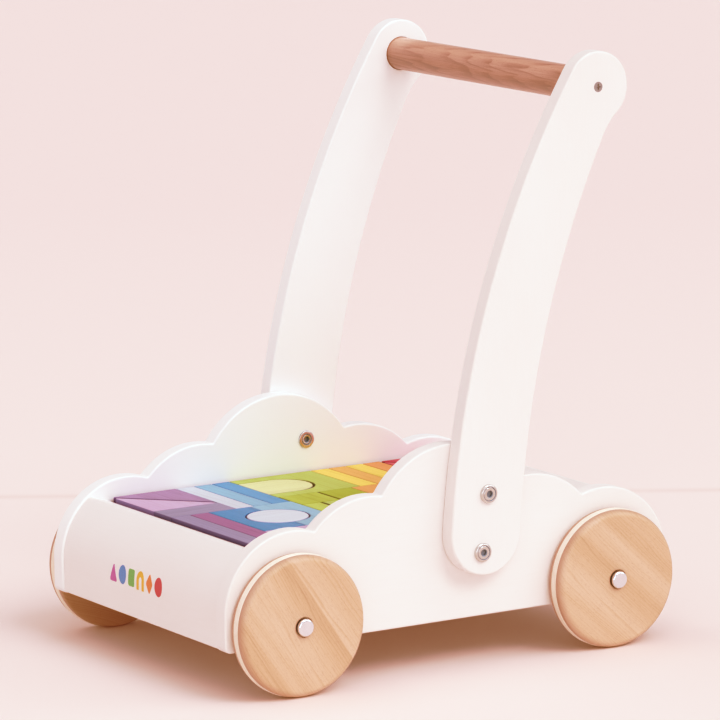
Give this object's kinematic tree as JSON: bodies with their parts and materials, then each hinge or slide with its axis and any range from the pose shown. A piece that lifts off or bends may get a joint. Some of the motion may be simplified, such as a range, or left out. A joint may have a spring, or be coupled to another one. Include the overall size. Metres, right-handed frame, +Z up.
{
  "type": "baby walker",
  "caption": "Wooden push-along baby walker: cloud-shaped side panels, curved end boards, tray of coloured building blocks, four ringed wheels and a round push bar on two curved arms.",
  "frame": {"origin": "on the ground, midway between the four wheels", "axes": "+Z up, +X across to the right-hand side, -Y towards the curved front board, +Y towards the push bar"},
  "size_m": [0.3124, 0.404, 0.4706],
  "materials": {
    "white_paint": "satin water-based paint on smooth board, softly rounded edges",
    "beech_wheel": "clear satin varnish over beech with fine flecks and diagonal grain",
    "beech_bar": "clear satin varnish over steamed beech, cathedral grain",
    "beech_peg": "plain turned beech",
    "rubber_cream": "matt cream rubber",
    "polished_steel": "polished nickel-plated steel",
    "axle_steel": "drawn bright steel",
    "zinc_dark": "zinc-plated steel",
    "paint_plum": "thin satin stain, grain shows",
    "paint_lilac": "thin satin stain, grain shows",
    "paint_heather": "thin satin stain, grain shows",
    "paint_lavender": "thin satin stain, grain shows",
    "paint_sky": "thin satin stain, grain shows",
    "paint_blue": "thin satin stain, grain shows",
    "paint_lime": "thin satin stain, grain shows",
    "paint_pale_green": "thin satin stain, grain shows",
    "paint_green": "thin satin stain, grain shows",
    "paint_olive": "thin satin stain, grain shows",
    "paint_yellow": "thin satin stain, grain shows",
    "paint_orange": "thin satin stain, grain shows",
    "paint_red": "thin satin stain, grain shows",
    "paint_crimson": "thin satin stain, grain shows",
    "paint_rose": "thin satin stain, grain shows"
  },
  "bodies": {
    "walker_frame": {"arm_bolts": "polished_steel", "base_board": "white_paint", "front_board": "white_paint", "handle_arm_left": "white_paint", "handle_arm_right": "white_paint", "handle_bar": "beech_bar", "handle_screws": "zinc_dark", "joining_pegs": "beech_peg", "rear_board": "white_paint", "side_panel_left": "white_paint", "side_panel_right": "white_paint", "sleeve_nuts": "polished_steel"},
    "front_axle_set": {"front_axle": "axle_steel", "front_washers": "axle_steel", "front_hub_caps": "polished_steel"},
    "front_right_wheel": {"wheel_front_right": "beech_wheel", "rubber_ring_front_right": "rubber_cream"},
    "front_left_wheel": {"wheel_front_left": "beech_wheel", "rubber_ring_front_left": "rubber_cream"},
    "rear_axle_set": {"rear_axle": "axle_steel", "rear_washers": "axle_steel", "rear_hub_caps": "polished_steel"},
    "rear_right_wheel": {"wheel_rear_right": "beech_wheel", "rubber_ring_rear_right": "rubber_cream"},
    "rear_left_wheel": {"wheel_rear_left": "beech_wheel", "rubber_ring_rear_left": "rubber_cream"},
    "arch_blue": {"block_arch_blue": "paint_blue"},
    "arch_orange": {"block_arch_orange": "paint_orange"},
    "arch_sky": {"block_arch_sky": "paint_sky"},
    "arch_yellow": {"block_arch_yellow": "paint_yellow"},
    "brick_crimson": {"block_brick_crimson": "paint_crimson"},
    "brick_green": {"block_brick_green": "paint_green"},
    "brick_lilac": {"block_brick_lilac": "paint_lilac"},
    "brick_olive": {"block_brick_olive": "paint_olive"},
    "brick_yellow": {"block_brick_yellow": "paint_yellow"},
    "disc_lavender": {"block_disc_lavender": "paint_lavender"},
    "disc_red": {"block_disc_red": "paint_red"},
    "gate_filler_pale_green": {"block_gate_filler_pale_green": "paint_pale_green"},
    "gate_lime": {"block_gate_lime": "paint_lime"},
    "long_plank_green": {"block_long_plank_green": "paint_green"},
    "long_plank_heather": {"block_long_plank_heather": "paint_heather"},
    "long_plank_lime": {"block_long_plank_lime": "paint_lime"},
    "long_plank_plum": {"block_long_plank_plum": "paint_plum"},
    "plank_blue": {"block_plank_blue": "paint_blue"},
    "plank_lavender": {"block_plank_lavender": "paint_lavender"},
    "plank_orange_a": {"block_plank_orange_a": "paint_orange"},
    "plank_orange_b": {"block_plank_orange_b": "paint_orange"},
    "plank_sky": {"block_plank_sky": "paint_sky"},
    "plank_yellow_a": {"block_plank_yellow_a": "paint_yellow"},
    "plank_yellow_b": {"block_plank_yellow_b": "paint_yellow"},
    "small_plank_heather": {"block_small_plank_heather": "paint_heather"},
    "small_plank_red": {"block_small_plank_red": "paint_red"},
    "square_lime": {"block_square_lime": "paint_lime"},
    "triangle_crimson": {"block_triangle_crimson": "paint_crimson"},
    "triangle_lilac": {"block_triangle_lilac": "paint_lilac"},
    "triangle_plum": {"block_triangle_plum": "paint_plum"},
    "triangle_rose": {"block_triangle_rose": "paint_rose"},
    "wide_plank_crimson": {"block_wide_plank_crimson": "paint_crimson"},
    "wide_plank_red": {"block_wide_plank_red": "paint_red"}
  },
  "joints": [
    {"name": "front_axle_spin", "type": "hinge", "parent": "walker_frame", "child": "front_axle_set", "pos_m": [0, -0.1435, 0.055], "axis": [1, 0, 0], "continuous": true},
    {"name": "front_right_wheel_spin", "type": "hinge", "parent": "front_axle_set", "child": "front_right_wheel", "pos_m": [0.1443, -0.1435, 0.055], "axis": [1, 0, 0], "continuous": true},
    {"name": "front_left_wheel_spin", "type": "hinge", "parent": "front_axle_set", "child": "front_left_wheel", "pos_m": [-0.1443, -0.1435, 0.055], "axis": [1, 0, 0], "continuous": true},
    {"name": "rear_axle_spin", "type": "hinge", "parent": "walker_frame", "child": "rear_axle_set", "pos_m": [0, 0.1435, 0.055], "axis": [1, 0, 0], "continuous": true},
    {"name": "rear_right_wheel_spin", "type": "hinge", "parent": "rear_axle_set", "child": "rear_right_wheel", "pos_m": [0.1443, 0.1435, 0.055], "axis": [1, 0, 0], "continuous": true},
    {"name": "rear_left_wheel_spin", "type": "hinge", "parent": "rear_axle_set", "child": "rear_left_wheel", "pos_m": [-0.1443, 0.1435, 0.055], "axis": [1, 0, 0], "continuous": true},
    {"name": "arch_blue_lift", "type": "slide", "parent": "walker_frame", "child": "arch_blue", "axis": [0, 0, 1], "range_m": [0, 0.1]},
    {"name": "arch_orange_lift", "type": "slide", "parent": "walker_frame", "child": "arch_orange", "axis": [0, 0, 1], "range_m": [0, 0.1]},
    {"name": "arch_sky_lift", "type": "slide", "parent": "walker_frame", "child": "arch_sky", "axis": [0, 0, 1], "range_m": [0, 0.1]},
    {"name": "arch_yellow_lift", "type": "slide", "parent": "walker_frame", "child": "arch_yellow", "axis": [0, 0, 1], "range_m": [0, 0.1]},
    {"name": "brick_crimson_lift", "type": "slide", "parent": "walker_frame", "child": "brick_crimson", "axis": [0, 0, 1], "range_m": [0, 0.1]},
    {"name": "brick_green_lift", "type": "slide", "parent": "walker_frame", "child": "brick_green", "axis": [0, 0, 1], "range_m": [0, 0.1]},
    {"name": "brick_lilac_lift", "type": "slide", "parent": "walker_frame", "child": "brick_lilac", "axis": [0, 0, 1], "range_m": [0, 0.1]},
    {"name": "brick_olive_lift", "type": "slide", "parent": "walker_frame", "child": "brick_olive", "axis": [0, 0, 1], "range_m": [0, 0.1]},
    {"name": "brick_yellow_lift", "type": "slide", "parent": "walker_frame", "child": "brick_yellow", "axis": [0, 0, 1], "range_m": [0, 0.1]},
    {"name": "disc_lavender_lift", "type": "slide", "parent": "walker_frame", "child": "disc_lavender", "axis": [0, 0, 1], "range_m": [0, 0.1]},
    {"name": "disc_red_lift", "type": "slide", "parent": "walker_frame", "child": "disc_red", "axis": [0, 0, 1], "range_m": [0, 0.1]},
    {"name": "gate_filler_pale_green_lift", "type": "slide", "parent": "walker_frame", "child": "gate_filler_pale_green", "axis": [0, 0, 1], "range_m": [0, 0.1]},
    {"name": "gate_lime_lift", "type": "slide", "parent": "walker_frame", "child": "gate_lime", "axis": [0, 0, 1], "range_m": [0, 0.1]},
    {"name": "long_plank_green_lift", "type": "slide", "parent": "walker_frame", "child": "long_plank_green", "axis": [0, 0, 1], "range_m": [0, 0.1]},
    {"name": "long_plank_heather_lift", "type": "slide", "parent": "walker_frame", "child": "long_plank_heather", "axis": [0, 0, 1], "range_m": [0, 0.1]},
    {"name": "long_plank_lime_lift", "type": "slide", "parent": "walker_frame", "child": "long_plank_lime", "axis": [0, 0, 1], "range_m": [0, 0.1]},
    {"name": "long_plank_plum_lift", "type": "slide", "parent": "walker_frame", "child": "long_plank_plum", "axis": [0, 0, 1], "range_m": [0, 0.1]},
    {"name": "plank_blue_lift", "type": "slide", "parent": "walker_frame", "child": "plank_blue", "axis": [0, 0, 1], "range_m": [0, 0.1]},
    {"name": "plank_lavender_lift", "type": "slide", "parent": "walker_frame", "child": "plank_lavender", "axis": [0, 0, 1], "range_m": [0, 0.1]},
    {"name": "plank_orange_a_lift", "type": "slide", "parent": "walker_frame", "child": "plank_orange_a", "axis": [0, 0, 1], "range_m": [0, 0.1]},
    {"name": "plank_orange_b_lift", "type": "slide", "parent": "walker_frame", "child": "plank_orange_b", "axis": [0, 0, 1], "range_m": [0, 0.1]},
    {"name": "plank_sky_lift", "type": "slide", "parent": "walker_frame", "child": "plank_sky", "axis": [0, 0, 1], "range_m": [0, 0.1]},
    {"name": "plank_yellow_a_lift", "type": "slide", "parent": "walker_frame", "child": "plank_yellow_a", "axis": [0, 0, 1], "range_m": [0, 0.1]},
    {"name": "plank_yellow_b_lift", "type": "slide", "parent": "walker_frame", "child": "plank_yellow_b", "axis": [0, 0, 1], "range_m": [0, 0.1]},
    {"name": "small_plank_heather_lift", "type": "slide", "parent": "walker_frame", "child": "small_plank_heather", "axis": [0, 0, 1], "range_m": [0, 0.1]},
    {"name": "small_plank_red_lift", "type": "slide", "parent": "walker_frame", "child": "small_plank_red", "axis": [0, 0, 1], "range_m": [0, 0.1]},
    {"name": "square_lime_lift", "type": "slide", "parent": "walker_frame", "child": "square_lime", "axis": [0, 0, 1], "range_m": [0, 0.1]},
    {"name": "triangle_crimson_lift", "type": "slide", "parent": "walker_frame", "child": "triangle_crimson", "axis": [0, 0, 1], "range_m": [0, 0.1]},
    {"name": "triangle_lilac_lift", "type": "slide", "parent": "walker_frame", "child": "triangle_lilac", "axis": [0, 0, 1], "range_m": [0, 0.1]},
    {"name": "triangle_plum_lift", "type": "slide", "parent": "walker_frame", "child": "triangle_plum", "axis": [0, 0, 1], "range_m": [0, 0.1]},
    {"name": "triangle_rose_lift", "type": "slide", "parent": "walker_frame", "child": "triangle_rose", "axis": [0, 0, 1], "range_m": [0, 0.1]},
    {"name": "wide_plank_crimson_lift", "type": "slide", "parent": "walker_frame", "child": "wide_plank_crimson", "axis": [0, 0, 1], "range_m": [0, 0.1]},
    {"name": "wide_plank_red_lift", "type": "slide", "parent": "walker_frame", "child": "wide_plank_red", "axis": [0, 0, 1], "range_m": [0, 0.1]}
  ]
}
